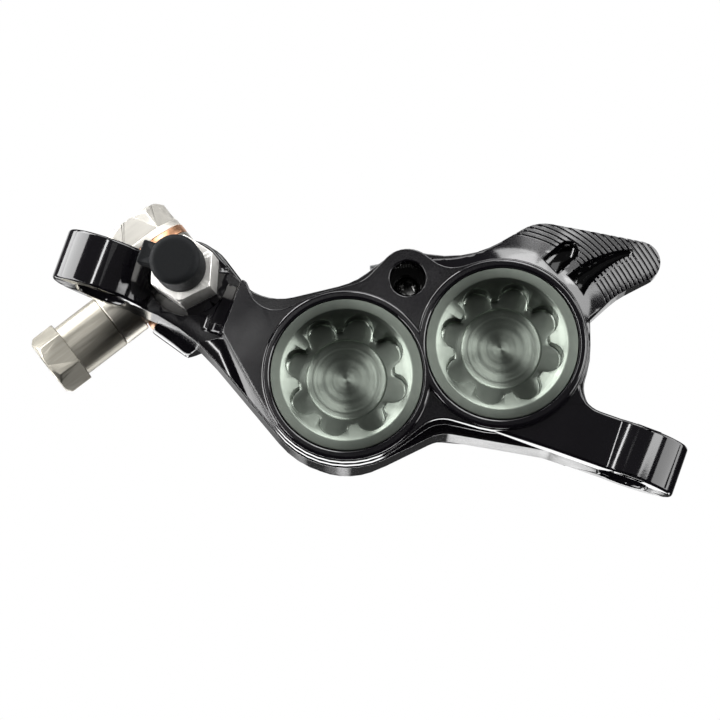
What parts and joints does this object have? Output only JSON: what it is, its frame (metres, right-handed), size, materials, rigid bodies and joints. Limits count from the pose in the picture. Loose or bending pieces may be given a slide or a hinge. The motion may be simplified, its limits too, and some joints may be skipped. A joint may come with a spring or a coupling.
{
  "type": "bicycle disc brake caliper",
  "caption": "Post-mount hydraulic disc brake caliper: one-piece ridged black body with lobed bore caps, sliding pistons and pads, bleed nipple and a banjo hose connector.",
  "frame": {"origin": "centre of the left bolt slot, on the face that sits on the post", "axes": "+X along the line of post bolts to the right ear, +Y along the wheel axle towards the wheel, +Z along the post bolts away from the posts"},
  "size_m": [0.0893, 0.0473, 0.0437],
  "materials": {
    "anodised_body": "bright black anodised",
    "anodised_caps": "turned, gunmetal anodised",
    "seal_rubber": "matt",
    "piston_steel": "ground",
    "plated_steel": "plated",
    "sintered_lining": "sintered",
    "spring_steel": "rolled",
    "stainless": "turned bright",
    "cap_rubber": "moulded",
    "copper": "soft, stamped"
  },
  "bodies": {
    "caliper": {"caliper_body": "anodised_body", "bore_cap_left": "anodised_caps", "bore_cap_right": "anodised_caps", "cap_oring_left": "seal_rubber", "cap_oring_right": "seal_rubber", "seal_outer_left": "seal_rubber", "seal_outer_right": "seal_rubber", "seal_inner_left": "seal_rubber", "seal_inner_right": "seal_rubber", "pad_spring": "spring_steel", "pad_pin": "stainless", "banjo_bolt": "stainless", "banjo_washer_upper": "copper", "banjo_washer_lower": "copper"},
    "outer_pad": {"pad_plate_outer": "plated_steel", "pad_lining_outer": "sintered_lining"},
    "inner_pad": {"pad_plate_inner": "plated_steel", "pad_lining_inner": "sintered_lining"},
    "nipple": {"bleed_nipple": "stainless"},
    "dust_cap": {"nipple_cap": "cap_rubber"},
    "hose_end": {"banjo_fitting": "stainless", "hose_nut": "stainless"},
    "outer_left_piston": {"piston_outer_left": "piston_steel"},
    "outer_right_piston": {"piston_outer_right": "piston_steel"},
    "inner_left_piston": {"piston_inner_left": "piston_steel"},
    "inner_right_piston": {"piston_inner_right": "piston_steel"}
  },
  "joints": [
    {"name": "outer_pad_slide", "type": "slide", "parent": "caliper", "child": "outer_pad", "axis": [0, 1, 0], "range_m": [0, 0.002], "deforming": ["pad_spring"]},
    {"name": "inner_pad_slide", "type": "slide", "parent": "caliper", "child": "inner_pad", "axis": [0, -1, 0], "range_m": [0, 0.002]},
    {"name": "outer_left_piston_slide", "type": "slide", "parent": "caliper", "child": "outer_left_piston", "axis": [0, 1, 0], "range_m": [0, 0.002]},
    {"name": "outer_right_piston_slide", "type": "slide", "parent": "caliper", "child": "outer_right_piston", "axis": [0, 1, 0], "range_m": [0, 0.002]},
    {"name": "inner_left_piston_slide", "type": "slide", "parent": "caliper", "child": "inner_left_piston", "axis": [0, -1, 0], "range_m": [0, 0.002]},
    {"name": "inner_right_piston_slide", "type": "slide", "parent": "caliper", "child": "inner_right_piston", "axis": [0, -1, 0], "range_m": [0, 0.002]},
    {"name": "nipple_turn", "type": "hinge", "parent": "caliper", "child": "nipple", "pos_m": [0.0104, -0.0019, 0.0062], "axis": [-0.1219, -0.9925, 0], "range_deg": [0, 180]},
    {"name": "dust_cap_pull", "type": "slide", "parent": "nipple", "child": "dust_cap", "axis": [-0.1219, -0.9925, 0], "range_m": [0, 0.008]},
    {"name": "hose_swing", "type": "hinge", "parent": "caliper", "child": "hose_end", "pos_m": [0.0065, 0.0126, 0.0069], "axis": [0.8425, 0, -0.5388], "range_deg": [0, 40]}
  ],
  "couplings": [
    {"joint": "inner_pad_slide", "follows": "outer_pad_slide", "ratio": 1},
    {"joint": "outer_left_piston_slide", "follows": "outer_pad_slide", "ratio": 1},
    {"joint": "outer_right_piston_slide", "follows": "outer_pad_slide", "ratio": 1},
    {"joint": "inner_left_piston_slide", "follows": "outer_pad_slide", "ratio": 1},
    {"joint": "inner_right_piston_slide", "follows": "outer_pad_slide", "ratio": 1}
  ]
}
